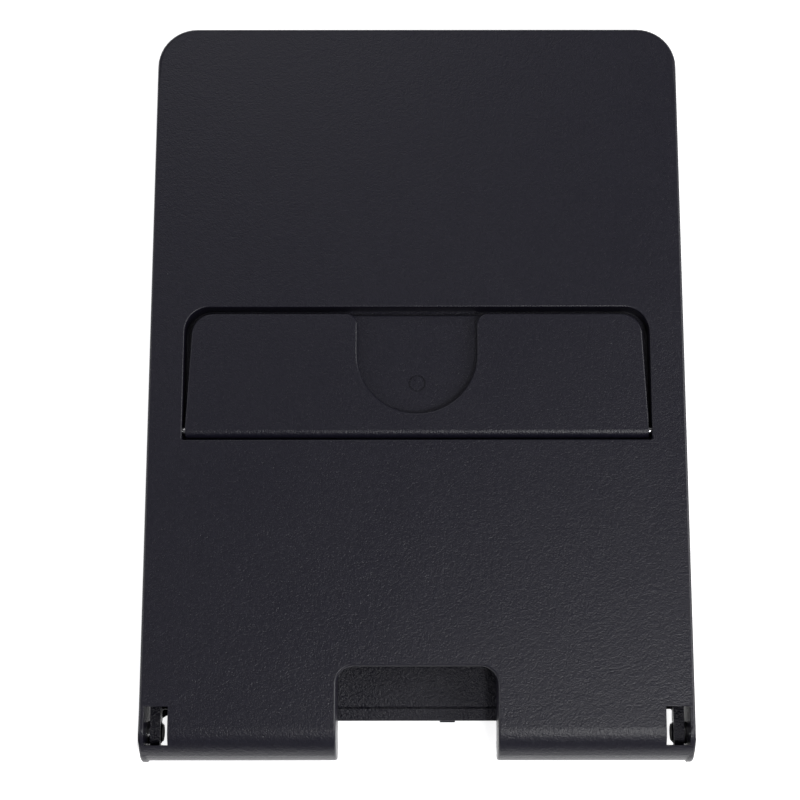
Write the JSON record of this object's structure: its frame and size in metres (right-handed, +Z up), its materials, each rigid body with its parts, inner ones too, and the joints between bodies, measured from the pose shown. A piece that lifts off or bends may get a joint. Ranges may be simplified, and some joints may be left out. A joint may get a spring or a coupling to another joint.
{
  "type": "folding desk stand",
  "caption": "Folding desk stand: hinged backrest with a fold-out shelf, a flat base plate, a prop leg and cable notches, folded flat.",
  "frame": {"origin": "centre of the bounding box in X and Y, at the desk top under the foot pads", "axes": "+X across the stand, +Y from the hinge end to the free end, +Z up out of the backrest's front face"},
  "size_m": [0.1002, 0.1393, 0.012],
  "materials": {
    "body_plastic": "fine spark-eroded texture",
    "inner_plastic": "fine spark-eroded texture",
    "rubber": "matt",
    "pin_steel": "turned"
  },
  "bodies": {
    "base": {"base_plate": "inner_plastic", "foot_pad_front_left": "rubber", "foot_pad_front_right": "rubber", "foot_pad_rear_left": "rubber", "foot_pad_rear_right": "rubber"},
    "backrest": {"backrest_panel": "body_plastic", "base_hinge_pin_left": "pin_steel", "base_hinge_pin_right": "pin_steel", "shelf_hinge_pin_left": "pin_steel", "shelf_hinge_pin_right": "pin_steel", "prop_hinge_pin_left": "pin_steel", "prop_hinge_pin_right": "pin_steel"},
    "shelf": {"shelf": "body_plastic", "shelf_grip_pad_left": "rubber", "shelf_grip_pad_right": "rubber"},
    "prop": {"prop_leg": "inner_plastic"}
  },
  "joints": [
    {"name": "backrest_tilt", "type": "hinge", "parent": "base", "child": "backrest", "pos_m": [0, -0.06435, 0.0058], "axis": [1, 0, 0], "range_deg": [0, 65]},
    {"name": "shelf_fold", "type": "hinge", "parent": "backrest", "child": "shelf", "pos_m": [0, -0.00915, 0.0103], "axis": [1, 0, 0], "range_deg": [0, 90]},
    {"name": "prop_swing", "type": "hinge", "parent": "backrest", "child": "prop", "pos_m": [0, -0.01585, 0.0072], "axis": [1, 0, 0], "range_deg": [-113.2, 0]}
  ],
  "couplings": [
    {"joint": "prop_swing", "follows": "backrest_tilt", "ratio": -1.7385}
  ]
}
